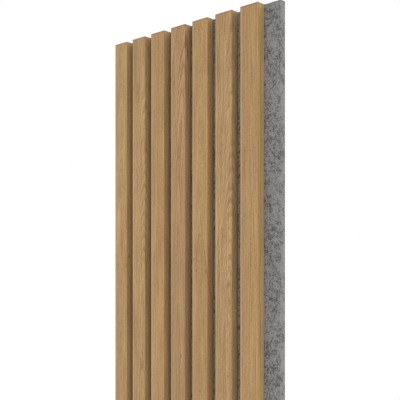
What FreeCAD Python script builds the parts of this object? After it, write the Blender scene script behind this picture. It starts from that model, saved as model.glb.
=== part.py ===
import FreeCAD, Part
import os

# Acoustic slat wall panel: upright oak-veneered strips carried on a felt backing.
# Millimetres. Z runs up the slats, X to the right as seen from the room, and the fronts face -Y.
# The origin is the centre of the felt's back face, which lies on the wall.

# The panel as a whole
PANEL_LENGTH = 2400.0
SLAT_COUNT = 7

# One slat, finished: a fibreboard core wrapped in veneer on its front and both sides
SLAT_WIDTH = 27.0
SLAT_DEPTH = 12.0
SLAT_GAP = 13.0
VENEER_THICKNESS = 0.6
CORE_EDGE_RADIUS = 0.4

# The felt backing, and the strip of it that the next panel's first slat covers
FELT_THICKNESS = 9.0
LAP_WIDTH = 10.0

# The wire staples that carry each slat, driven from behind: the bite is how far the tips reach into a core,
# and the crown depth is how far a crown is sunk below the felt's back face
STAPLE_CROWN = 12.0
STAPLE_BITE = 6.25
WIRE_WIDTH = 0.95
WIRE_THICKNESS = 0.65
STAPLE_BEND_RADIUS = 0.5
STAPLE_TIP_LENGTH = 1.2
CROWN_DEPTH = 0.25
STAPLE_SPACING = 200.0
STAPLE_END_MARGIN = 100.0

# Places that follow from the sizes
PITCH = SLAT_WIDTH + SLAT_GAP
FELT_WIDTH = SLAT_COUNT * PITCH
FELT_LEFT = -FELT_WIDTH / 2
FELT_FRONT = -FELT_THICKNESS
SLAT_FRONT = FELT_FRONT - SLAT_DEPTH
BOTTOM = -PANEL_LENGTH / 2


def point(x, y, z):
    return FreeCAD.Vector(x, y, z)


def arc_inset(radius):
    """How far the middle of a quarter round lies inside the sharp corner, along each of its two sides."""
    return radius * (1 - 0.5 ** 0.5)


def slat_left(index):
    """X of a finished slat's left side. The first slat stands out over the felt's left edge by the lap."""
    return FELT_LEFT - LAP_WIDTH + index * PITCH


def strip(left, right, front, radius):
    """A full-length strip that stands on the felt, with its two long front edges rounded."""
    inset = arc_inset(radius)
    back_left = point(left, FELT_FRONT, BOTTOM)
    side_left = point(left, front + radius, BOTTOM)
    edge_left = point(left + inset, front + inset, BOTTOM)
    face_left = point(left + radius, front, BOTTOM)
    face_right = point(right - radius, front, BOTTOM)
    edge_right = point(right - inset, front + inset, BOTTOM)
    side_right = point(right, front + radius, BOTTOM)
    back_right = point(right, FELT_FRONT, BOTTOM)
    outline = [
        Part.LineSegment(back_left, side_left),
        Part.Arc(side_left, edge_left, face_left),
        Part.LineSegment(face_left, face_right),
        Part.Arc(face_right, edge_right, side_right),
        Part.LineSegment(side_right, back_right),
        Part.LineSegment(back_right, back_left),
    ]
    face = Part.Face(Part.Wire([edge.toShape() for edge in outline]))
    return face.extrude(point(0, 0, PANEL_LENGTH))


def slat_core(index):
    """The fibreboard strip inside a slat, thinner than the finished slat by the veneer."""
    left = slat_left(index) + VENEER_THICKNESS
    right = slat_left(index) + SLAT_WIDTH - VENEER_THICKNESS
    return strip(left, right, SLAT_FRONT + VENEER_THICKNESS, CORE_EDGE_RADIUS)


def slat_veneer(index):
    """The veneer folded over the core's front and both sides, and left off its back and its sawn ends."""
    left = slat_left(index)
    wrap = strip(left, left + SLAT_WIDTH, SLAT_FRONT, CORE_EDGE_RADIUS + VENEER_THICKNESS)
    return wrap.cut(slat_core(index))


def staple_centre(index):
    """X at the middle of the strip on which a slat and the felt meet."""
    left = max(slat_left(index), FELT_LEFT)
    return (left + slat_left(index) + SLAT_WIDTH) / 2


def staple_heights():
    """Evenly spaced heights of the staples behind one slat, close to the wanted spacing."""
    run = PANEL_LENGTH - 2 * STAPLE_END_MARGIN
    steps = max(1, round(run / STAPLE_SPACING))
    return [BOTTOM + STAPLE_END_MARGIN + run * step / steps for step in range(steps + 1)]


def staple(x, z):
    """A flat-wire staple, its crown upright behind the felt, with rounded shoulders and slanted tips."""
    half = STAPLE_CROWN / 2
    back = -CROWN_DEPTH
    tip = FELT_FRONT - STAPLE_BITE
    inner = half - WIRE_THICKNESS
    outer_radius = STAPLE_BEND_RADIUS + WIRE_THICKNESS
    outer_inset = arc_inset(outer_radius)
    inner_inset = arc_inset(STAPLE_BEND_RADIUS)
    crown = back - WIRE_THICKNESS

    def at(y, height):
        return point(x - WIRE_WIDTH / 2, y, z + height)

    edges = []
    for side in (1, -1):
        outer_tip = at(tip + STAPLE_TIP_LENGTH, side * half)
        inner_tip = at(tip, side * inner)
        outer_leg = at(back - outer_radius, side * half)
        outer_crown = at(back, side * (half - outer_radius))
        inner_leg = at(crown - STAPLE_BEND_RADIUS, side * inner)
        inner_crown = at(crown, side * (inner - STAPLE_BEND_RADIUS))
        shoulder = at(back - outer_inset, side * (half - outer_inset))
        elbow = at(crown - inner_inset, side * (inner - inner_inset))
        edges += [
            Part.LineSegment(outer_leg, outer_tip),
            Part.LineSegment(outer_tip, inner_tip),
            Part.LineSegment(inner_tip, inner_leg),
            Part.Arc(outer_leg, shoulder, outer_crown),
            Part.Arc(inner_leg, elbow, inner_crown),
        ]
    for y, end in ((back, half - outer_radius), (crown, inner - STAPLE_BEND_RADIUS)):
        edges.append(Part.LineSegment(at(y, -end), at(y, end)))
    ordered = Part.sortEdges([edge.toShape() for edge in edges])[0]
    return Part.Face(Part.Wire(ordered)).extrude(point(WIRE_WIDTH, 0, 0))


def crown_groove(x, z):
    """The groove that a crown is driven into, open to the felt's back face."""
    corner = point(x - WIRE_WIDTH / 2, -CROWN_DEPTH - WIRE_THICKNESS, z - STAPLE_CROWN / 2)
    return Part.makeBox(WIRE_WIDTH, CROWN_DEPTH + WIRE_THICKNESS, STAPLE_CROWN, corner)


def felt_backing(staples, grooves):
    """The felt sheet, with the slits and grooves that the staples make in it."""
    corner = point(FELT_LEFT, FELT_FRONT, BOTTOM)
    sheet = Part.makeBox(FELT_WIDTH, FELT_THICKNESS, PANEL_LENGTH, corner)
    return sheet.cut(staples + grooves)


def save(name, shape):
    shape.exportStep("parts/" + name + ".step")


os.makedirs("parts", exist_ok=True)
all_staples = []
all_grooves = []
for index in range(SLAT_COUNT):
    own_staples = [staple(staple_centre(index), z) for z in staple_heights()]
    all_staples += own_staples
    all_grooves += [crown_groove(staple_centre(index), z) for z in staple_heights()]
    number = str(index + 1)
    save("slat_core_" + number, slat_core(index).cut(own_staples))
    save("slat_veneer_" + number, slat_veneer(index))
save("felt_backing", felt_backing(all_staples, all_grooves))
save("staples", Part.makeCompound(all_staples))
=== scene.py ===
import math

import bmesh
import bpy
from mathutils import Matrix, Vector, noise


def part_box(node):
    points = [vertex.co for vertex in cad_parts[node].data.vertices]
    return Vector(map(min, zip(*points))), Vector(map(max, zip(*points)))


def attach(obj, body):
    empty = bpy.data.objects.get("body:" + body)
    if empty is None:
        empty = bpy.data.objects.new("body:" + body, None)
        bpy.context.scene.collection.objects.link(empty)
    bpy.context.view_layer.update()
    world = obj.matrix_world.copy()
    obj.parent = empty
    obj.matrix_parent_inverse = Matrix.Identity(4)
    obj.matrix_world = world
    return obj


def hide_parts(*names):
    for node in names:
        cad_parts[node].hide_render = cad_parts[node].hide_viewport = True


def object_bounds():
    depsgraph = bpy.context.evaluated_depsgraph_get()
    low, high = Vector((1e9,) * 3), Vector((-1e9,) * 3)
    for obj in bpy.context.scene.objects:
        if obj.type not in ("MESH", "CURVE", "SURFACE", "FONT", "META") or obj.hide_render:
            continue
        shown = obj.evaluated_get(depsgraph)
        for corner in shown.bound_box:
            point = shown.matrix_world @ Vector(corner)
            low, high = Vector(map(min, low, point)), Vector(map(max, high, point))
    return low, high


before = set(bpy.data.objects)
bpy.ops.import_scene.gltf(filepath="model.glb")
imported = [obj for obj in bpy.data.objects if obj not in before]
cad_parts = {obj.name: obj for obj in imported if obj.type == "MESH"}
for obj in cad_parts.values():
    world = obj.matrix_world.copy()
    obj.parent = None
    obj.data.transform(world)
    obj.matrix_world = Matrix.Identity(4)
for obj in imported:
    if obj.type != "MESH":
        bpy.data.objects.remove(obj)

# Acoustic slat wall panel: upright oak-veneered strips on a grey felt backing.
# Metres. Z runs up the slats, the fronts face -Y and the felt's back lies on the plane y = 0.
MM = 0.001
cad_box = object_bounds()

# The camera stands level with a point a little below the panel's top, to the right of it and close in.
# The first three places are measured from slat 1's front left edge at the panel's top. Then come its
# angles in degrees, and its lens and sensor in mm.
CAMERA_RIGHT = 662.1 * MM
CAMERA_BEFORE = 518.3 * MM
CAMERA_BELOW = 231.5 * MM
CAMERA_LEVEL = 90.0
CAMERA_TURN = 43.26
CAMERA_LENS = 50.0
CAMERA_SENSOR = 36.0

# The studio: a round floor, a white room, and one large lamp on the panel's right
FLOOR_RADIUS = 4.6
FLOOR_SIDES = 96
FLOOR_SHADES = ((0.86, 0.86, 0.855, 1), (0.88, 0.88, 0.875, 1))
FLOOR_CLOUD = 250.0
FLOOR_ROUGHNESS = 0.8
ROOM_COLOUR = (1, 1, 1, 1)
ROOM_STRENGTH = 1.0
SIDE_LIGHT_PLACE = (2.6, -1.9, 0.0)
SIDE_LIGHT_SIZE = (1.4, 2.6)
SIDE_LIGHT_POWER = 11.0

# The folded veneer, and the map that its finish is baked on, in side-by-side lengths. The hidden share of
# a length's width goes to the veneer's inner face, and the same again to its long cut edges.
OUTER_RADIUS = 1.0 * MM
INNER_RADIUS = 0.4 * MM
ARC_STEPS = 5
BAKE_COLUMNS = 4
BAKE_MARGIN = 0.004
BAKE_HIDDEN = 0.02
SHARP_ANGLE = 40.0

# The felt: soft edges, a slight unevenness, less on its back, and cut sides that stand a little proud
FELT_EDGE = 0.5 * MM
FELT_UNEVEN = 0.3 * MM
FELT_BACK_UNEVEN = 0.6
FELT_WAVE = 16.0 * MM
FELT_HELD_REACH = 2.0 * MM
FELT_PROUD = 0.97 * MM
FELT_PROUD_REACH = 4.0 * MM

# The spots where the staples press the felt in
PRESSED_DEPTH = 0.88 * MM
PRESSED_REACH = 2.8 * MM

# How finely the felt's skin is divided, and at which shares of a soft edge or a pressed spot
FELT_STEP_ACROSS = 5.2 * MM
FELT_STEP_ALONG = 9.0 * MM
FELT_LINE_SHARES = (0.0, 0.4, 1.0)

# How far rounding may push a count of whole steps off
ROUNDING = 1e-6

# The felt's baking map: lengths side by side, the room for what is hidden and for the back as shares of
# the room for what is bare, and the height of the band for each cut end
FELT_COLUMNS = 3
FELT_HIDDEN_SHARE = 0.12
FELT_BACK_SHARE = 0.5
FELT_CAP_BAND = 0.02

# The staples, in flat wire, as they stand behind each slat. The tips are slanted off on their outer side,
# so that a thin share of the wire's thickness is left there, further inwards.
STAPLE_CROWN = 12.0 * MM
STAPLE_SPACING = 200.0 * MM
STAPLE_END_MARGIN = 100.0 * MM
STAPLE_BEND = 0.825 * MM
STAPLE_BEND_STEPS = 4
STAPLE_TIP_LENGTH = 1.2 * MM
WIRE_WIDTH = 0.95 * MM
WIRE_THICKNESS = 0.65 * MM
WIRE_CORNER = 0.14 * MM
WIRE_CORNER_STEPS = 2
TIP_INWARDS = WIRE_THICKNESS / 3
TIP_THICKNESS_SHARE = 0.3

veneer_nodes = [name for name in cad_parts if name.startswith("slat_veneer_")]
slat_numbers = sorted(int(name.rsplit("_", 1)[1]) for name in veneer_nodes)
slat_boxes = {number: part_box(f"slat_veneer_{number}") for number in slat_numbers}
core_boxes = {number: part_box(f"slat_core_{number}") for number in slat_numbers}

# The slats' right sides from the first to the last, and the step from one slat to the next, in mm
right_sides = [slat_boxes[number][1].x / MM for number in slat_numbers]
first_side, last_side = right_sides[0], right_sides[-1]
slat_pitch = right_sides[1] - right_sides[0]

felt_low, felt_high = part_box("felt_backing")
felt_size = felt_high - felt_low
wire_low, wire_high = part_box("staples")


# Finishes

# The colour sockets of Blender's Mix node, which shares their names among several kinds of socket
MIX_FIRST = 6
MIX_SECOND = 7
MIX_RESULT = 2


class Shade:
    """A material's node tree, built by short calls that return sockets."""

    def __init__(self, name):
        self.material = bpy.data.materials.new(name)
        self.material.use_nodes = True
        self.tree = self.material.node_tree
        self.tree.nodes.clear()
        self.output = self.node("ShaderNodeOutputMaterial")

    def node(self, kind, **settings):
        made = self.tree.nodes.new(kind)
        for key, value in settings.items():
            setattr(made, key, value)
        return made

    def feed(self, socket, value):
        if isinstance(value, bpy.types.NodeSocket):
            self.tree.links.new(value, socket)
        else:
            socket.default_value = value

    def math(self, operation, a, b=0.0, clamp=False):
        made = self.node("ShaderNodeMath", operation=operation, use_clamp=clamp)
        self.feed(made.inputs[0], a)
        self.feed(made.inputs[1], b)
        return made.outputs[0]

    def add(self, a, b, clamp=False):
        return self.math("ADD", a, b, clamp)

    def less(self, a, b):
        return self.math("SUBTRACT", a, b)

    def times(self, a, b, clamp=False):
        return self.math("MULTIPLY", a, b, clamp)

    def absolute(self, value):
        return self.math("ABSOLUTE", value)

    def distance(self, a, b):
        """How far off a point lies that is a away one way and b away the other."""
        return self.math("SQRT", self.add(self.times(a, a), self.times(b, b)))

    def repeated(self, value, length):
        """The value from 0 up to that length, over and over."""
        return self.times(self.math("FRACT", self.times(value, 1 / length)), length)

    def only_where(self, share, factor):
        """That factor where the share is 1, and 1 where the share is 0."""
        return self.add(self.times(self.less(factor, 1.0), share), 1.0)

    def combine(self, x, y, z):
        made = self.node("ShaderNodeCombineXYZ")
        for socket, value in zip(made.inputs, (x, y, z)):
            self.feed(socket, value)
        return made.outputs[0]

    def noise(self, vector, detail=2.0, roughness=0.5, scale=1.0, distortion=0.0):
        made = self.node("ShaderNodeTexNoise")
        self.feed(made.inputs["Vector"], vector)
        made.inputs["Scale"].default_value = scale
        made.inputs["Detail"].default_value = detail
        made.inputs["Roughness"].default_value = roughness
        made.inputs["Distortion"].default_value = distortion
        return made.outputs[0]

    def about_zero(self, noise_value):
        """Noise moved from its mean of 0.5 to 0."""
        return self.less(noise_value, 0.5)

    def curve(self, value, points):
        """A line drawn through those (value, result) points, held beyond both ends."""
        start, end = points[0][0], points[-1][0]
        least, most = min(y for _, y in points), max(y for _, y in points)
        rise = (most - least) or 1.0
        made = self.node("ShaderNodeFloatCurve")
        line = made.mapping.curves[0]
        # The curve starts with two points. The rest are added, and then all are put in place.
        for _ in points[2:]:
            line.points.new(0.5, 0.5)
        for knot, (x, y) in zip(line.points, points):
            knot.location = ((x - start) / (end - start), (y - least) / rise)
            knot.handle_type = "VECTOR"
        made.mapping.update()
        self.feed(made.inputs["Value"], self.times(self.less(value, start), 1 / (end - start), clamp=True))
        return self.add(self.times(made.outputs[0], most - least), least)

    def between(self, value, low, high, out_low=0.0, out_high=1.0, smooth=True):
        """Maps low..high to out_low..out_high, held beyond both ends."""
        made = self.node("ShaderNodeMapRange", interpolation_type="SMOOTHSTEP" if smooth else "LINEAR")
        self.feed(made.inputs["Value"], value)
        limits = {"From Min": low, "From Max": high, "To Min": out_low, "To Max": out_high}
        for key, number in limits.items():
            made.inputs[key].default_value = number
        return made.outputs[0]

    def mix(self, factor, first, second):
        made = self.node("ShaderNodeMix", data_type="RGBA")
        self.feed(made.inputs[0], factor)
        self.feed(made.inputs[MIX_FIRST], first)
        self.feed(made.inputs[MIX_SECOND], second)
        return made.outputs[MIX_RESULT]

    def scaled(self, vector, amount):
        """The vector or colour times that amount."""
        made = self.node("ShaderNodeVectorMath", operation="SCALE")
        self.feed(made.inputs[0], vector)
        self.feed(made.inputs["Scale"], amount)
        return made.outputs[0]

    def position(self):
        """X, Y and Z of the object's own frame, in millimetres."""
        parts = self.node("ShaderNodeSeparateXYZ")
        self.feed(parts.inputs[0], self.scaled(self.node("ShaderNodeTexCoord").outputs["Object"], 1 / MM))
        return tuple(parts.outputs)

    def finish(self, colour, roughness, height=None, bump=0.0, distance=0.0, **values):
        """A Principled surface with that colour, roughness and bump height."""
        surface = self.node("ShaderNodeBsdfPrincipled")
        self.feed(surface.inputs["Base Color"], colour)
        self.feed(surface.inputs["Roughness"], roughness)
        for key, number in values.items():
            surface.inputs[key.replace("_", " ")].default_value = number
        if height is not None:
            bumped = self.node("ShaderNodeBump")
            bumped.inputs["Strength"].default_value = bump
            bumped.inputs["Distance"].default_value = distance
            self.feed(bumped.inputs["Height"], height)
            self.tree.links.new(bumped.outputs[0], surface.inputs["Normal"])
        self.tree.links.new(surface.outputs[0], self.output.inputs["Surface"])
        return self.material


def rgb(*display):
    """A colour from its red, green and blue display values 0..255, as scene-linear light."""
    shares = [value / 255 for value in display]
    linear = [((share + 0.055) / 1.055) ** 2.4 if share > 0.04045 else share / 12.92 for share in shares]
    return (*linear, 1.0)


# The figures that the veneer sheets show, in mm. A sheet is sliced off a log: heart is how far the log's
# middle line lies from the slat's left edge round the fold, and depth how deep it lies below the cut, both
# as curves of mm below the top that start again every REPEAT. Growing depth draws cups, shrinking depth
# draws arches, and so does taper, by which the rings widen downwards. ring is the width of a year's growth
# and mark how strongly the rings show. clouds are soft darker or lighter places: mm across, mm below the
# top, half width, half length, and the share by which the wood is darker there.
REPEAT = 700.0
FIGURES = {
    "pointed": dict(heart=((0, 15), (350, 14), (REPEAT, 15)), depth=((0, 7), (350, 5), (REPEAT, 7)),
                    taper=0.1, ring=1.9, mark=((0, 0.35), (REPEAT, 0.35)),
                    clouds=((3, 85, 5, 90, 0.1), (6, 268, 8, 36, -0.09))),
    "arched": dict(heart=((0, 31), (180, 28), (300, 24.5), (345, 23), (440, 20), (520, 24), (REPEAT, 31)),
                   depth=((0, 24), (90, 23), (165, 20.5), (350, 4.5), (410, 5), (470, 8), (560, 4.5),
                          (REPEAT, 24)),
                   taper=0.035, ring=2.1, mark=((0, 0.75), (140, 0.8), (230, 1.1), (340, 1.05), (440, 0.8),
                                                (REPEAT, 0.75)),
                   clouds=((4, 35, 9, 60, 0.16), (14, 74, 8, 20, 0.1), (4, 245, 9, 36, -0.12),
                           (22, 110, 6, 45, -0.09), (22, 196, 6, 20, 0.1), (22, 306, 6, 18, -0.08),
                           (3, 405, 5, 45, 0.12))),
    "straight": dict(heart=((0, 75), (REPEAT, 75)), depth=((0, 26), (330, 18), (REPEAT, 26)),
                     taper=0.0, ring=2.3, mark=((0, 0.7), (REPEAT, 0.7)), clouds=()),
    "slanted": dict(heart=((0, 31), (70, 24), (130, 19.5), (185, 15), (520, 14), (REPEAT, 31)),
                    depth=((0, 14), (70, 9), (130, 6.5), (176, 7.5), (200, 5.5), (310, 4.5), (430, 4.5),
                           (540, 9), (REPEAT, 14)),
                    taper=0.025, ring=2.7, mark=((0, 2.1), (110, 1.9), (200, 1.15), (320, 0.75), (500, 0.75),
                                                 (REPEAT, 2.1)),
                    clouds=((16, 45, 6, 60, 0.08), (17, 138, 4, 28, -0.12), (2, 195, 6, 50, 0.1),
                            (16, 320, 8, 45, 0.1))),
}

# What sets each slat off from its neighbours: how light and how red it is, how much greyer it grows towards
# its right, how strongly painted bounce light from the felt greys its sides' feet, how far below the top it
# is lightest, and how strongly one dark pointed vein shows
SLATS = {
    1: dict(figure="pointed", light=1.01, red=0.0, grey=0.0, foot=0.15, palest=180.0, vein=0.45),
    2: dict(figure="arched", light=0.99, red=0.1, grey=0.04, foot=0.25, palest=280.0, vein=0.0),
    3: dict(figure="straight", light=0.99, red=0.2, grey=0.0, foot=0.25, palest=520.0, vein=0.0),
    4: dict(figure="slanted", light=0.91, red=0.5, grey=0.08, foot=0.25, palest=120.0, vein=0.0),
    5: dict(figure="pointed", light=0.99, red=0.0, grey=0.0, foot=0.25, palest=150.0, vein=0.85),
    6: dict(figure="arched", light=0.97, red=0.1, grey=0.07, foot=0.25, palest=240.0, vein=0.0),
    7: dict(figure="straight", light=0.97, red=0.1, grey=0.0, foot=0.25, palest=500.0, vein=0.0),
}
SLAT_SEED = 137.0

# A range below has the two values between which something changes, and then, unless that is 0 to 1 or
# differs from slat to slat, what it changes from and to.

# The marks in the veneer, each as a seed of its own, width and length in mm and, but for the patches,
# the hue and the pores, strength. The first two bend the log's middle line, and the next two its rings.
UNEVEN = (0, 1.0, 55.0, 1.6)
STRAY = (31, 1.0, 130.0, 4.0)
WANDER = (5, 6.0, 34.0, 2.2)
SHIVER = (7, 2.4, 11.0, 1.5)
FIBRE = (13, 0.7, 46.0, 2.2)
STREAK = (17, 1.3, 120.0, 2.5)
BLOTCH = (23, 13.0, 48.0, 0.9)
FLECK = (41, 1.1, 3.0, 2.0)
PATCH = (11, 9.0, 60.0)
HUE = (37, 8.0, 105.0)
PORE = (29, 0.22, 8.0)

# Slanting ripples: their slope across and down, how they change downwards, each per mm, and their seed
RIPPLE_SLOPE = (0.5, 0.12)
RIPPLE_CHANGE = 0.06
RIPPLE_SEED = 19

# The year rings: how the dark spring wood starts in each and thins out, how much the years differ, and
# how the rings fade in patches
SPRING_START = (0.0, 0.14)
SPRING_POWER = 1.5
SPRING_MEAN = 0.35
YEAR_CHANGE = 0.45
YEAR_STRENGTH = 1.8
RING_STRENGTH = 1.35
PATCH_RANGE = (0.3, 0.6, 0.45, 1.0)

# The dark vein on the pointed figure: mm from the slat's left edge, its point in mm below the top, how it
# opens below that, how far it follows the bends, its line, its two legs, where it ends, and its inside
VEIN_ACROSS = 15.6
VEIN_BELOW = 247.0
VEIN_SPREAD = 0.085
VEIN_FLARE = 0.0008
VEIN_BENT = 0.15
VEIN_LINE = (0.3, 1.0, 0.9, 0.0)
VEIN_LEGS = (VEIN_ACROSS - 1.5, VEIN_ACROSS + 1.5, 0.65, 1.1)
VEIN_END = (REPEAT - 200.0, REPEAT - 60.0, 1.0, 0.0)
VEIN_EDGE = (-0.4, 0.4, 1.0, 0.0)
VEIN_DARK = 0.15
VEIN_RED = 0.4

# Small dark pin knots: mm from the slat's left edge round the fold, mm below the top, and size. Each is
# drawn out along the grain, is darkest over a first share of its size, and shows by another share there.
PINS = {
    1: ((2.4, 314, 2.3), (8.0, 328, 1.8), (25.5, 328, 1.8), (32.0, 315, 2.1)),
    2: ((2.2, 71, 1.5), (21.0, 448, 1.7), (8.0, 450, 1.2)),
    4: ((20.0, 438, 1.7), (20.5, 312, 1.2), (15.0, 186, 1.3)),
    5: ((3.0, 308, 2.0), (7.5, 322, 1.7), (25.0, 322, 1.8), (31.3, 309, 2.0)),
    6: ((2.0, 68, 1.5), (21.0, 447, 1.6), (19.5, 60, 1.0)),
}
PIN_STRETCH = 0.6
PIN_MIDDLE = 0.3
PIN_SHARE = 0.6

# Open pores: how closely they follow the rings, where they open, and how many there are by the season
PORE_FOLLOW = 0.6
PORE_RANGE = (0.55, 0.72)
PORE_IN_SPRING = 0.7
PORE_IN_SUMMER = 0.3

# The oak's colours, where the hue turns red or yellow, and how much of each colour shows at most
OAK_LIGHT = rgb(192, 157, 106)
OAK_DARK = rgb(138, 102, 58)
OAK_RED = rgb(178, 135, 95)
OAK_YELLOW = rgb(190, 160, 104)
OAK_PORE = rgb(104, 74, 44)
OAK_PIN = rgb(112, 72, 28)
TONE_RANGE = (-0.9, 1.05)
RED_RANGE = (0.5, 0.3)
YELLOW_RANGE = (0.5, 0.72, 0.0, 0.35)
RED_SHARE = 0.4
PORE_SHARE = 0.5

# A slat has painted shade on its left side and fold, with a painted highlight, a paler line, beside them.
# It is greyer towards its right, by mm across, and towards the sides' feet, by mm behind the front, where
# the greying is painted bounce light from the felt.
OAK_FOLD_HIGHLIGHT = rgb(196, 180, 152)
OAK_FOOT_BOUNCE = rgb(174, 183, 156)
OAK_GREY = rgb(166, 160, 148)
FOLD_HIGHLIGHT_ACROSS = 2.1
FOLD_HIGHLIGHT_LINE = (0.4, 1.4, 0.3, 0.0)
LEFT_PAINTED_SHADE = (0.5, 1.3, 0.65, 1.0)
GREY_RANGE = (4.0, 30.0)
FOOT_BOUNCE_RANGE = (6.0, 12.0)

# Behind the front, by mm, a side has painted light and then painted shade that darkens it towards the felt,
# more so in the gaps than on the panel's own right side. Next to the sawn ends the sides have painted light,
# and the veneer has a thin darker rim.
SIDE_START = (0.5, 1.5)
SIDE_PAINTED_SHADE_IN_GAP = ((0, 1.03), (3, 1.09), (7, 1.05), (10, 0.9), (12, 0.58))
SIDE_PAINTED_SHADE_IN_OPEN = ((0, 1.08), (3, 1.16), (9, 1.12), (12, 0.97))
SIDE_PAINTED_LIGHT_AT_END = ((0, 1.22), (3, 1.17), (4.5, 1.11), (6, 1.05), (9, 1.02), (14, 1.0))
END_RIM = (0.4, 3.0, 0.77, 1.0)

# Along its length a slat grows slightly paler and darker in one slow wave. A figure's cloud is full over a
# first share of its half size and has faded out at a second one.
PALE_SWING = 0.03
PALE_LENGTH = 900.0
CLOUD_RANGE = (0.2, 1.3)

# How far fibres stand up and pores lie deep, and the lacquer's roughness beside and in the pores
FIBRE_HEIGHT = 0.3
PORE_DEPTH = 1.2
OAK_ROUGHNESS = (0.0, 1.0, 0.5, 0.72)


class OakShade(Shade):
    """The finish of one slat's veneer, with each point's place on the sheet laid out flat, in mm.

    across runs from the slat's left edge round its folds, down from the panel's top, and within is down
    inside one repeat of the figure.
    """

    def __init__(self, number):
        super().__init__(f"oak_veneer_{number}")
        self.slat = SLATS[number]
        self.figure = FIGURES[self.slat["figure"]]
        self.seed = SLAT_SEED * number
        low, high = slat_boxes[number]
        x, y, z = self.position()
        from_middle = self.less(x, (low.x + high.x) / 2 / MM)
        self.behind_front = self.less(y, low.y / MM)
        folded = self.times(self.math("SIGN", from_middle), self.behind_front)
        self.across = self.add(self.add(from_middle, folded), (high.x - low.x) / 2 / MM)
        self.down = self.less(high.z / MM, z)
        self.within = self.repeated(self.down, REPEAT)
        self.from_end = self.less(high.z / MM, self.absolute(z))
        slant = self.add(self.times(self.across, RIPPLE_SLOPE[0]), self.times(self.down, RIPPLE_SLOPE[1]))
        ripples = self.combine(slant, self.times(self.down, RIPPLE_CHANGE), self.seed + RIPPLE_SEED)
        self.ripple = self.about_zero(self.noise(ripples))

    def grain(self, mark, across=None, detail=2.0, roughness=0.55):
        """Noise drawn out along the grain, for a mark of that seed, width and length."""
        own_seed, wide, long = mark
        sideways = self.times(self.across if across is None else across, 1 / wide)
        place = self.combine(sideways, self.times(self.down, 1 / long), self.seed + own_seed)
        return self.noise(place, detail, roughness)

    def marks(self, mark, across=None, detail=2.0):
        """The same noise about 0, for a mark that also has a strength."""
        *size, strength = mark
        return self.times(self.about_zero(self.grain(size, across, detail)), strength)

    def log_radius(self):
        """How far each point lies from the log's middle line, and by how much its ring is bent there: the
        log isn't quite round or straight."""
        depth = self.add(self.curve(self.within, self.figure["depth"]), self.marks(UNEVEN, across=0.0))
        heart = self.add(self.curve(self.within, self.figure["heart"]), self.marks(STRAY, across=0.0))
        radius = self.distance(self.less(self.across, heart), depth)
        radius = self.less(radius, self.times(self.down, self.figure["taper"]))
        bent = self.add(self.marks(WANDER), self.marks(SHIVER))
        return self.add(radius, bent), bent

    def year_rings(self, radius, mark):
        """The dark, porous spring wood of each year, and the rings' tone: no two years are alike."""
        years = self.times(radius, 1 / self.figure["ring"])
        year = self.math("FRACT", years)
        thinning = self.math("POWER", self.less(1.0, year), SPRING_POWER)
        spring = self.times(thinning, self.between(year, *SPRING_START))
        rank = self.noise(self.combine(self.times(years, YEAR_CHANGE), self.seed, 0.0), roughness=0.6)
        growth = self.add(self.less(spring, SPRING_MEAN), self.times(self.about_zero(rank), YEAR_STRENGTH))
        growth = self.times(growth, self.between(self.grain(PATCH), *PATCH_RANGE))
        return spring, self.times(growth, self.times(mark, RING_STRENGTH))

    def pointed_vein(self, bent):
        """One dark vein that opens downwards from a point: how much darker and how much redder it is."""
        past = self.less(self.within, VEIN_BELOW)
        flare = self.times(self.math("MAXIMUM", past, 0.0), self.times(past, VEIN_FLARE))
        spread = self.add(self.times(past, VEIN_SPREAD), flare)
        outside = self.less(self.absolute(self.less(self.across, VEIN_ACROSS)), spread)
        outside = self.add(outside, self.times(bent, VEIN_BENT))
        line = self.between(self.absolute(outside), *VEIN_LINE)
        line = self.times(line, self.between(self.across, *VEIN_LEGS))
        inside = self.between(outside, *VEIN_EDGE)
        shown = self.times(self.between(self.within, *VEIN_END), self.slat["vein"])
        darker = self.times(self.add(line, self.times(inside, VEIN_DARK)), shown)
        return darker, self.times(self.times(inside, shown), VEIN_RED)

    def with_pins(self, colour, pins):
        """The colour with small dark pin knots in it."""
        for from_left, below, size in pins:
            upright = self.times(self.less(self.down, below), PIN_STRETCH)
            away = self.add(self.distance(self.less(self.across, from_left), upright), self.ripple)
            colour = self.mix(self.between(away, size * PIN_MIDDLE, size, PIN_SHARE, 0.0), colour, OAK_PIN)
        return colour

    def shade(self, painted_side_shade):
        """How light each place is, with that curve of painted shade and light behind the slat's front."""
        from_palest = self.less(self.down, self.slat["palest"])
        paleness = self.math("COSINE", self.times(from_palest, 2 * math.pi / PALE_LENGTH))
        light = self.add(self.times(paleness, PALE_SWING), self.slat["light"])
        on_side = self.between(self.behind_front, *SIDE_START)
        # Painted light and shade on the sides, by mm behind the front
        shade = self.only_where(on_side, self.curve(self.behind_front, painted_side_shade))
        # Painted shade on the slat's left side and fold
        shade = self.times(shade, self.between(self.across, *LEFT_PAINTED_SHADE))
        # Painted light on the sides next to the sawn ends
        shade = self.times(shade, self.only_where(on_side, self.curve(self.from_end, SIDE_PAINTED_LIGHT_AT_END)))
        shade = self.times(shade, self.between(self.from_end, *END_RIM))
        for middle, below, wide, long, darker in self.figure["clouds"]:
            sideways = self.times(self.less(self.across, middle), 1 / wide)
            upright = self.times(self.less(self.within, below), 1 / long)
            away = self.add(self.distance(sideways, upright), self.ripple)
            shade = self.times(shade, self.between(away, *CLOUD_RANGE, 1 - darker, 1.0))
        return self.times(light, shade)


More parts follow.
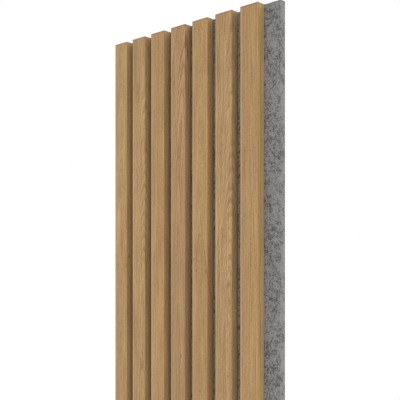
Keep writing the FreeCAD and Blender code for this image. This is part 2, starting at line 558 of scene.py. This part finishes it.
def oak(number):
    """Matt-lacquered oak veneer, its figure laid out flat and folded round the slat's front edges."""
    s = OakShade(number)
    mark = s.curve(s.within, s.figure["mark"])
    radius, bent = s.log_radius()
    spring, growth = s.year_rings(radius, mark)

    # Fine upright fibres and broader streaks, with slanting ripples where the fibres dip
    fibre = s.marks(FIBRE, detail=3.0)
    tone = s.add(s.add(growth, fibre), s.add(s.marks(STREAK), s.marks(BLOTCH)))
    tone = s.add(s.add(tone, s.times(s.ripple, mark)), s.marks(FLECK))
    hue = s.grain(HUE)
    redder = s.add(s.between(hue, *RED_RANGE), s.slat["red"])
    if s.slat["vein"]:
        vein_tone, vein_red = s.pointed_vein(bent)
        tone = s.add(tone, vein_tone)
        redder = s.add(redder, vein_red)

    # Open pores are short dark strokes along the grain, thick in the spring wood
    strokes = s.grain(PORE, s.times(radius, PORE_FOLLOW), roughness=0.6)
    open_share = s.add(s.times(spring, PORE_IN_SPRING), PORE_IN_SUMMER)
    pores = s.times(s.between(strokes, *PORE_RANGE), open_share)

    colour = s.mix(s.between(tone, *TONE_RANGE, smooth=False), OAK_LIGHT, OAK_DARK)
    colour = s.mix(s.between(hue, *YELLOW_RANGE), colour, OAK_YELLOW)
    colour = s.mix(s.times(s.add(redder, 0.0, clamp=True), RED_SHARE), colour, OAK_RED)
    colour = s.mix(s.times(pores, PORE_SHARE), colour, OAK_PORE)
    colour = s.with_pins(colour, PINS.get(number, ()))
    # Painted highlight: a paler line beside the left fold
    colour = s.mix(s.between(s.absolute(s.less(s.across, FOLD_HIGHLIGHT_ACROSS)), *FOLD_HIGHLIGHT_LINE), colour, OAK_FOLD_HIGHLIGHT)
    colour = s.mix(s.between(s.across, *GREY_RANGE, 0.0, s.slat["grey"]), colour, OAK_GREY)
    # Painted bounce light from the felt: the sides grow greyer towards their feet
    colour = s.mix(s.between(s.behind_front, *FOOT_BOUNCE_RANGE, 0.0, s.slat["foot"]), colour, OAK_FOOT_BOUNCE)
    # The colour times its lightness, which holds the painted light and shade on the sides and left fold
    colour = s.scaled(colour, s.shade(SIDE_PAINTED_SHADE_IN_OPEN if number == slat_numbers[-1] else SIDE_PAINTED_SHADE_IN_GAP))
    height = s.less(s.times(fibre, FIBRE_HEIGHT), s.times(pores, PORE_DEPTH))
    return s.finish(colour, s.between(pores, *OAK_ROUGHNESS), height, bump=0.5, distance=0.08 * MM,
                    Specular_IOR_Level=0.3)


# The felt: its greys, and the size in mm of its clouds, soft blotches, spots, grain and single fibres
FELT_PALE = rgb(143, 143, 142)
FELT_DARK = rgb(60, 60, 61)
FELT_FIBRE = rgb(182, 182, 180)
FELT_CLOUD = 22.0
FELT_BLOTCH = 8.0
FELT_SPOT = 2.4
FELT_GRAIN = 1.3
FELT_HAIR = 0.45

# How its dark fibres crowd in clouds and blotches, and how dark spots, blotches and grain then are
CLOUD_CROWDING = 0.6
SPOT_CROWDING = 0.4
SPOT_RANGE = (0.36, 0.7, 0.0, 0.7)
BLOTCH_DARK = 0.3
GRAIN_RANGE = (0.25, 0.75, -0.4, 0.5)
HAIR_RANGE = (0.52, 0.74, 0.0, 0.4)

# Its cut edges, by mm from them, are plainer and lighter in painted light, and its cut ends darker
CUT_EDGE = (0.3, 0.7)
CUT_PAINTED_LIGHT = (0.0, 1.0, -0.14, 0.86)
CUT_END = (0.4, 2.4, 0.88, 1.0)

# Painted warm bounce light from the wood and painted shade on the felt beside the slats. From the first
# slat's right side to the last one's: its colours, and how much there is. Then how its own light and dark
# stand apart, how it fades by mm from a slat's foot, past the last slat and behind the felt's front, and how
# much coarser the felt is under it.
BOUNCE_SHADE_FIRST = rgb(106, 82, 52)
BOUNCE_SHADE_LAST = rgb(134, 111, 82)
BOUNCE_SHADE_SHARES = (0.78, 0.46)
BOUNCE_SHADE_SPECKLE = (0.0, 1.0, 1.35, 0.6)
BOUNCE_SHADE_FADE = (0.5, 5.0, 1.0, 0.2)
BOUNCE_SHADE_PAST_LAST = (0.5, 2.5)
BOUNCE_SHADE_BEHIND = (1.5, 0.5)
BOUNCE_SHADE_COARSER = 1.2
BOUNCE_SHADE_MEAN = 0.4

# How far the felt's grain and its single fibres stand up
GRAIN_HEIGHT = 0.8
HAIR_HEIGHT = 0.5


def painted_bounce_share(s, x, y):
    """Where painted bounce light and shade lie: on the felt's front, at the foot of each slat's right side.
    """
    front = felt_low.y / MM
    past, gone = BOUNCE_SHADE_PAST_LAST
    deep, shallow = BOUNCE_SHADE_BEHIND
    before_strip = s.between(x, last_side + past, last_side + gone, 1.0, 0.0)
    on_front = s.between(y, front + deep, front + shallow)
    from_foot = s.repeated(s.less(x, first_side), slat_pitch)
    return s.times(s.times(before_strip, on_front), s.between(from_foot, *BOUNCE_SHADE_FADE))


def felt():
    """Pressed felt of light and dark grey fibres in soft dark blotches, plainer cut edges in painted light.
    """
    s = Shade("grey_felt")
    x, y, z = s.position()
    place = s.combine(x, y, z)
    cloud = s.noise(place, scale=1 / FELT_CLOUD)
    blotch = s.noise(place, detail=1.0, scale=1 / FELT_BLOTCH)
    spot = s.noise(place, roughness=0.6, scale=1 / FELT_SPOT)
    grain = s.noise(place, detail=3.0, roughness=0.7, scale=1 / FELT_GRAIN)
    hair = s.noise(place, roughness=0.7, scale=1 / FELT_HAIR, distortion=2.5)
    crowded = s.add(s.about_zero(blotch), s.times(s.about_zero(cloud), CLOUD_CROWDING))
    dark = s.between(s.add(spot, s.times(crowded, SPOT_CROWDING)), *SPOT_RANGE)
    dark = s.add(dark, s.times(crowded, BLOTCH_DARK))
    dark = s.add(dark, s.between(grain, *GRAIN_RANGE))

    # It is coarser where the painted bounce light and shade lie
    bounce_shaded = painted_bounce_share(s, x, y)
    dark = s.add(dark, s.times(bounce_shaded, s.times(s.less(dark, BOUNCE_SHADE_MEAN), BOUNCE_SHADE_COARSER)), clamp=True)

    # The cut edges are plainer, and lighter in painted light
    from_side = s.less((felt_high.x + FELT_PROUD) / MM, s.absolute(x))
    from_end = s.less(felt_high.z / MM, s.absolute(z))
    inside = s.between(s.math("MINIMUM", from_side, from_end), *CUT_EDGE)
    dark = s.mix(inside, s.between(dark, *CUT_PAINTED_LIGHT), dark)
    colour = s.mix(dark, FELT_PALE, FELT_DARK)
    colour = s.mix(s.between(hair, *HAIR_RANGE), colour, FELT_FIBRE)

    # The painted bounce light and shade are stronger, and darker, beside the first slats than beside the
    # last
    bounce_shade_colour = s.mix(s.between(x, first_side, last_side), BOUNCE_SHADE_FIRST, BOUNCE_SHADE_LAST)
    bounce_shade_colour = s.scaled(bounce_shade_colour, s.between(dark, *BOUNCE_SHADE_SPECKLE))
    colour = s.mix(s.times(bounce_shaded, s.between(x, first_side, last_side, *BOUNCE_SHADE_SHARES)), colour, bounce_shade_colour)
    colour = s.scaled(colour, s.between(from_end, *CUT_END))
    height = s.add(s.times(grain, GRAIN_HEIGHT), s.times(hair, HAIR_HEIGHT))
    return s.finish(colour, roughness=0.95, height=height, bump=0.8, distance=0.45 * MM,
                    Specular_IOR_Level=0.1, Sheen_Weight=0.12)


# The cores' board: its chips and specks per mm, and by mm from the middle of its thickness its dense skins
BOARD_LIGHT = rgb(166, 137, 104)
BOARD_DARK = rgb(126, 99, 72)
BOARD_SKIN = rgb(104, 76, 52)
BOARD_SPECK = rgb(196, 164, 126)
BOARD_CHIPS = 1.6
BOARD_SPECKS = 6.0
CHIP_RANGE = (0.35, 0.68)
SPECK_RANGE = (0.6, 0.8, 0.0, 0.4)
SKIN_RANGE = (2.0, 5.6, 0.0, 0.4)


def fibreboard():
    """Raw brown fibreboard: fine chips, lighter and softer in the middle of its thickness."""
    s = Shade("core_board")
    x, y, z = s.position()
    place = s.combine(x, y, z)
    core_low, core_high = core_boxes[slat_numbers[0]]
    dense = s.between(s.absolute(s.less(y, (core_low.y + core_high.y) / 2 / MM)), *SKIN_RANGE)
    chip = s.noise(place, detail=4.0, roughness=0.7, scale=BOARD_CHIPS, distortion=0.6)
    speck = s.noise(place, roughness=0.6, scale=BOARD_SPECKS)
    colour = s.mix(s.between(chip, *CHIP_RANGE), BOARD_LIGHT, BOARD_DARK)
    colour = s.mix(dense, colour, BOARD_SKIN)
    colour = s.mix(s.between(speck, *SPECK_RANGE), colour, BOARD_SPECK)
    return s.finish(colour, roughness=0.85, height=chip, bump=0.5, distance=0.15 * MM,
                    Specular_IOR_Level=0.2)


# The staples' steel: its greys, how it changes per mm across and along the wire, and its spangle per mm
STEEL_LIGHT = rgb(186, 187, 186)
STEEL_DARK = rgb(140, 142, 143)
STEEL_BRIGHT = rgb(206, 207, 204)
DRAWN_ACROSS = 9.0
DRAWN_ALONG = 0.6
SPANGLES = 1.5
SPANGLE_RANGE = (0.45, 0.7, 0.0, 0.5)
STEEL_ROUGHNESS = (0.2, 0.8, 0.28, 0.5)


def steel():
    """Zinc-coated flat wire, faintly drawn along its length."""
    s = Shade("staple_wire")
    x, y, z = s.position()
    along_wire = s.combine(s.times(x, DRAWN_ACROSS), y, s.times(z, DRAWN_ALONG))
    drawn = s.noise(along_wire, detail=3.0, roughness=0.6)
    spangle = s.noise(s.combine(x, y, z), scale=SPANGLES)
    colour = s.mix(drawn, STEEL_LIGHT, STEEL_DARK)
    colour = s.mix(s.between(spangle, *SPANGLE_RANGE), colour, STEEL_BRIGHT)
    roughness = s.between(drawn, *STEEL_ROUGHNESS)
    return s.finish(colour, roughness, drawn, bump=0.3, distance=0.02 * MM, Metallic=1.0)


def floor_finish():
    s = Shade("studio_floor")
    faint = s.noise(s.combine(*s.position()), scale=1 / FLOOR_CLOUD)
    return s.finish(s.mix(faint, *FLOOR_SHADES), FLOOR_ROUGHNESS)


# Pieces

def link(name, mesh, material):
    piece = bpy.data.objects.new(name, mesh)
    bpy.context.scene.collection.objects.link(piece)
    piece.data.materials.append(material)
    return piece


def piece_from(bm, name, material, node):
    """Makes the mesh a piece on the root body that stands for a carried-over node."""
    bmesh.ops.recalc_face_normals(bm, faces=bm.faces)
    mesh = bpy.data.meshes.new(name)
    bm.to_mesh(mesh)
    bm.free()
    mesh.set_sharp_from_angle(angle=math.radians(SHARP_ANGLE))
    piece = link(name, mesh, material)
    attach(piece, "root")
    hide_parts(node)
    return piece


def evenly(start, end, steps):
    return [start + (end - start) * i / steps for i in range(steps + 1)]


def held(value, low, high):
    return min(max(value, low), high)


def eased(value):
    """A smooth step from 0 to 1."""
    share = held(value, 0.0, 1.0)
    return share * share * (3 - 2 * share)


def running_lengths(points):
    total = [0.0]
    for a, b in zip(points, points[1:]):
        total.append(total[-1] + math.dist(a, b))
    return total


def wrap_outline(left, right, front, back, radius):
    """Outline of one side of the veneer in plan, from its back left to its back right, corners rounded."""
    turns = evenly(0.0, math.pi / 2, ARC_STEPS)
    insets = [(radius * (1 - math.cos(turn)), radius * (1 - math.sin(turn))) for turn in turns]
    left_fold = [(left + aside, front + behind) for aside, behind in insets]
    right_fold = [(right - aside, front + behind) for aside, behind in reversed(insets)]
    return [(left, back), *left_fold, *right_fold, (right, back)]


def veneer_wrap(number, material):
    """The folded veneer as a closed shell, laid out for baking in side-by-side lengths."""
    low, high = slat_boxes[number]
    core_low, core_high = core_boxes[number]
    outer = wrap_outline(low.x, high.x, low.y, high.y, OUTER_RADIUS)
    inner = wrap_outline(core_low.x, core_high.x, core_low.y, high.y, INNER_RADIUS)
    heights = evenly(low.z, high.z, BAKE_COLUMNS)
    bm = bmesh.new()
    layer = bm.loops.layers.uv.new("OFBake")
    rings = [[[bm.verts.new((x, y, z)) for x, y in path] for path in (outer, inner)] for z in heights]

    def strip(near, far, left, width, bottom, top):
        """Faces between two rows of corners, laid on the map by the first row's running length."""
        lengths = running_lengths([corner.co for corner in near])
        across = [left + width * length / lengths[-1] for length in lengths]
        for i in range(len(near) - 1):
            face = bm.faces.new((near[i], near[i + 1], far[i + 1], far[i]))
            face.smooth = True
            places = ((across[i], bottom), (across[i + 1], bottom), (across[i + 1], top), (across[i], top))
            for loop, place in zip(face.loops, places):
                loop[layer].uv = place

    share = (1 - BAKE_MARGIN * (BAKE_COLUMNS + 1)) / BAKE_COLUMNS
    hidden = share * BAKE_HIDDEN
    seen = share - 2 * hidden
    bottom, top = BAKE_MARGIN, 1 - BAKE_MARGIN
    for column, (ring, above) in enumerate(zip(rings, rings[1:])):
        left = BAKE_MARGIN + column * (share + BAKE_MARGIN)
        strip(ring[0], above[0], left, seen, bottom, top)
        strip(ring[1], above[1], left + seen + hidden, hidden, bottom, top)
        for end in (0, -1):
            cut_edge = [(level[0][end], level[1][end]) for level in (ring, above)]
            strip(*cut_edge, left + seen, hidden, bottom, top)

    # The sawn ends lie in the margins
    strip(*rings[0], BAKE_MARGIN, seen, bottom, bottom - BAKE_MARGIN / 2)
    strip(*rings[-1], BAKE_MARGIN, seen, top, top + BAKE_MARGIN / 2)
    piece_from(bm, f"veneer_{number}", material, f"slat_veneer_{number}")


def staple_centre(number):
    """X at the middle of the strip on which a slat and the felt meet."""
    low, high = slat_boxes[number]
    return (max(low.x, felt_low.x) + high.x) / 2


def staple_heights():
    steps = round((felt_size.z - 2 * STAPLE_END_MARGIN) / STAPLE_SPACING)
    return evenly(felt_low.z + STAPLE_END_MARGIN, felt_high.z - STAPLE_END_MARGIN, steps)


def pressed_in(x, z):
    """How far the felt's back is pressed in beside the nearest staple's crown."""
    beside = min(abs(x - staple_centre(number)) for number in slat_numbers) - WIRE_WIDTH / 2
    beyond = min(abs(z - height) for height in staple_heights()) - STAPLE_CROWN / 2
    away = math.hypot(max(beside, 0.0), max(beyond, 0.0))
    return PRESSED_DEPTH * (1 - eased(away / PRESSED_REACH))


def under_slat(x):
    """1 where a slat lies on the felt and holds it flat, 0 where the felt is bare."""
    inside = max(min(x - low.x, high.x - x) for low, high in slat_boxes.values())
    return eased(1 + inside / FELT_HELD_REACH)


def felt_skin_point(p):
    """The felt's true surface at a point of its sharp box."""
    core = Vector([held(p[i], felt_low[i] + FELT_EDGE, felt_high[i] - FELT_EDGE) for i in range(3)])
    outwards = (p - core).normalized()
    inwards = FELT_UNEVEN * (1 + noise.noise(p / FELT_WAVE)) / 2
    if p.y == felt_low.y:
        inwards *= 1 - under_slat(p.x)
    if p.y == felt_high.y:
        inwards = max(inwards * FELT_BACK_UNEVEN, pressed_in(p.x, p.z))
    from_side = min(p.x - felt_low.x, felt_high.x - p.x)
    proud = FELT_PROUD * (1 - eased(from_side / FELT_PROUD_REACH))
    return core + outwards * (FELT_EDGE - inwards) + Vector((math.copysign(proud, p.x), 0, 0))


def filled(marks, step):
    """The marks in order, with even spaces of at most one step put between them."""
    marks = sorted(marks)
    lines = [marks[0]]
    for a, b in zip(marks, marks[1:]):
        lines += evenly(a, b, math.ceil((b - a) / step - ROUNDING))[1:]
    return lines


def felt_lines():
    """The x, y and z at which the felt's skin is divided: finely at its edges and where it is pressed in."""
    edge = [FELT_EDGE * share for share in FELT_LINE_SHARES]
    ends = zip(felt_low, felt_high)
    xs, ys, zs = [{low + off for off in edge} | {high - off for off in edge} for low, high in ends]
    slat_sides = [x for low, high in slat_boxes.values() for x in (low.x, high.x)]
    xs |= {x for x in slat_sides if felt_low.x < x < felt_high.x}
    zs |= set(evenly(felt_low.z, felt_high.z, FELT_COLUMNS)[1:-1])
    for share in FELT_LINE_SHARES:
        beside = WIRE_WIDTH / 2 + PRESSED_REACH * share
        beyond = STAPLE_CROWN / 2 + PRESSED_REACH * share
        for centre in map(staple_centre, slat_numbers):
            xs |= {centre - beside, centre + beside}
        for height in staple_heights():
            zs |= {height - beyond, height + beyond}
    return filled(xs, FELT_STEP_ACROSS), filled(ys, felt_size.y), filled(zs, FELT_STEP_ALONG)


class FeltMap:
    """The felt's baking map: lengths of its four long faces side by side, and its two cut ends above them.

    The bare strips get most of the room, the back half as much, and what the slats hide a little. A face is
    named by the axis that it looks along and 0 or 1 for the way: (1, 0) is the front, and (1, 1) the back.
    """

    def __init__(self, lines):
        self.xs, self.ys, self.zs = lines
        self.front = [0.0]
        for a, b in zip(self.xs, self.xs[1:]):
            room = FELT_HIDDEN_SHARE if under_slat((a + b) / 2) > 0.5 else 1.0
            self.front.append(self.front[-1] + (b - a) * room)
        space = 2 * FELT_EDGE
        right = self.front[-1] + space
        back = right + felt_size.y + space
        left = back + felt_size.x * FELT_BACK_SHARE + space
        self.starts = {(1, 0): 0.0, (0, 1): right, (1, 1): back, (0, 0): left}
        self.width = left + felt_size.y + 2 * space
        self.tall = 1 - 2 * BAKE_MARGIN - 2 * (FELT_CAP_BAND + BAKE_MARGIN)
        self.length = felt_size.z / FELT_COLUMNS

    def column(self, corners):
        """The length in which that face lies."""
        lowest = self.zs[min(corner[2] for corner in corners)]
        return min(int((lowest - felt_low.z) / self.length + ROUNDING), FELT_COLUMNS - 1)

    def place(self, axis, end, corner, column):
        """A corner's place on the map, for a corner given by its numbers among the lines."""
        i, j, k = corner
        across = self.xs[i] - felt_low.x
        behind = self.ys[j] - felt_low.y
        if axis == 2:
            band = BAKE_MARGIN + self.tall + BAKE_MARGIN + end * (FELT_CAP_BAND + BAKE_MARGIN)
            return across / felt_size.x, band + FELT_CAP_BAND * behind / felt_size.y
        if axis == 1:
            along = across * FELT_BACK_SHARE if end else self.front[i]
        else:
            along = behind
        up = (self.zs[k] - felt_low.z) / self.length - column
        u = (column + (self.starts[axis, end] + along) / self.width) / FELT_COLUMNS
        return u, BAKE_MARGIN + self.tall * up


def box_faces(lines):
    """The faces of a box divided at those lines: the axis that each looks along, 0 or 1 for the way, and its
    four corners by their numbers among the lines."""
    last = [len(line) - 1 for line in lines]
    for axis in range(3):
        p, q = (axis + 1) % 3, (axis + 2) % 3
        for end in (0, 1):
            for a in range(last[p]):
                for b in range(last[q]):
                    corners = []
                    for da, db in ((0, 0), (1, 0), (1, 1), (0, 1)):
                        corner = [0, 0, 0]
                        corner[axis] = last[axis] * end
                        corner[p] = a + da
                        corner[q] = b + db
                        corners.append(tuple(corner))
                    yield axis, end, corners if end else corners[::-1]


def felt_sheet(material):
    """The felt as one soft-edged skin, finely divided where the staples press it in."""
    lines = felt_lines()
    felt_map = FeltMap(lines)
    bm = bmesh.new()
    layer = bm.loops.layers.uv.new("OFBake")
    points = {}
    for axis, end, corners in box_faces(lines):
        for corner in corners:
            if corner not in points:
                sharp = Vector([line[i] for line, i in zip(lines, corner)])
                points[corner] = bm.verts.new(felt_skin_point(sharp))
        face = bm.faces.new([points[corner] for corner in corners])
        face.smooth = True
        column = felt_map.column(corners)
        for loop, corner in zip(face.loops, corners):
            loop[layer].uv = felt_map.place(axis, end, corner, column)
    piece = piece_from(bm, "felt_sheet", material, "felt_backing")


def wire_section():
    """The flat wire's section, corners eased: width across, thickness outwards."""
    points = []
    for right, out in ((1, 1), (-1, 1), (-1, -1), (1, -1)):
        across = right * (WIRE_WIDTH / 2 - WIRE_CORNER)
        outwards = out * (WIRE_THICKNESS / 2 - WIRE_CORNER)
        first = math.atan2(out, right) - math.pi / 4
        for turn in evenly(first, first + math.pi / 2, WIRE_CORNER_STEPS):
            points.append((across + WIRE_CORNER * math.cos(turn), outwards + WIRE_CORNER * math.sin(turn)))
    return points


def staple_line():
    """The wire's middle line from its upper tip over the crown to its lower one: at each place y, height,
    the turn of its outer side away from straight back, and the share of its thickness that is left."""
    reach = STAPLE_CROWN / 2 - WIRE_THICKNESS / 2
    crown = wire_high.y - WIRE_THICKNESS / 2
    upright = math.pi / 2
    half = [
        (wire_low.y, reach - TIP_INWARDS, upright, TIP_THICKNESS_SHARE),
        (wire_low.y + STAPLE_TIP_LENGTH, reach, upright, 1.0),
    ]
    for turn in evenly(upright, 0.0, STAPLE_BEND_STEPS):
        y = crown - STAPLE_BEND * (1 - math.cos(turn))
        half.append((y, reach - STAPLE_BEND * (1 - math.sin(turn)), turn, 1.0))
    return half + [(y, -height, -turn, thick) for y, height, turn, thick in reversed(half)]


def staples(material):
    """The staples behind every slat, as eased flat wire bent round their shoulders."""
    section = wire_section()
    bm = bmesh.new()
    for number in slat_numbers:
        for middle in staple_heights():
            rings = []
            for y, height, turn, thick in staple_line():
                ring = []
                for side, out in section:
                    back = y + out * thick * math.cos(turn)
                    up = middle + height + out * thick * math.sin(turn)
                    ring.append(bm.verts.new((staple_centre(number) + side, back, up)))
                rings.append(ring)
            for ring, after in zip(rings, rings[1:]):
                for corners in zip(ring, ring[1:] + ring[:1], after[1:] + after[:1], after):
                    bm.faces.new(corners).smooth = True
            bm.faces.new(rings[0])
            bm.faces.new(rings[-1])
    piece_from(bm, "staple_row", material, "staples")


def finish_node(name, material):
    """Gives a carried-over solid its material."""
    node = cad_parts[name]
    if not node.material_slots:
        node.data.materials.append(material)
    for slot in node.material_slots:
        slot.material = material


# The studio

def make_floor():
    mesh = bpy.data.meshes.new("studio_floor")
    bm = bmesh.new()
    bmesh.ops.create_circle(bm, cap_ends=True, segments=FLOOR_SIDES, radius=FLOOR_RADIUS)
    bm.to_mesh(mesh)
    bm.free()
    floor = link("studio_floor", mesh, floor_finish())
    floor.location.z = cad_box[0].z


def make_camera():
    low, high = slat_boxes[slat_numbers[0]]
    data = bpy.data.cameras.new("camera")
    data.lens = CAMERA_LENS
    data.sensor_width = CAMERA_SENSOR
    camera = bpy.data.objects.new("camera", data)
    bpy.context.scene.collection.objects.link(camera)
    camera.location = (low.x + CAMERA_RIGHT, low.y - CAMERA_BEFORE, high.z - CAMERA_BELOW)
    camera.rotation_euler = (math.radians(CAMERA_LEVEL), 0, math.radians(CAMERA_TURN))
    bpy.context.scene.camera = camera


def make_light():
    """A white room all round, and a large soft light on the panel's right."""
    scene = bpy.context.scene
    scene.view_settings.view_transform = "Standard"
    scene.view_settings.look = "None"
    world = bpy.data.worlds.new("studio")
    world.use_nodes = True
    background = world.node_tree.nodes["Background"]
    background.inputs["Color"].default_value = ROOM_COLOUR
    background.inputs["Strength"].default_value = ROOM_STRENGTH
    scene.world = world
    lamp_data = bpy.data.lights.new("side_light", "AREA")
    lamp_data.shape = "RECTANGLE"
    lamp_data.size, lamp_data.size_y = SIDE_LIGHT_SIZE
    lamp_data.energy = SIDE_LIGHT_POWER
    lamp = bpy.data.objects.new("side_light", lamp_data)
    scene.collection.objects.link(lamp)
    lamp.location = SIDE_LIGHT_PLACE
    lamp.rotation_euler = (-Vector(SIDE_LIGHT_PLACE)).to_track_quat("-Z", "Y").to_euler()


board = fibreboard()
for number in slat_numbers:
    veneer_wrap(number, oak(number))
    finish_node(f"slat_core_{number}", board)
felt_sheet(felt())
staples(steel())
make_floor()
make_camera()
make_light()
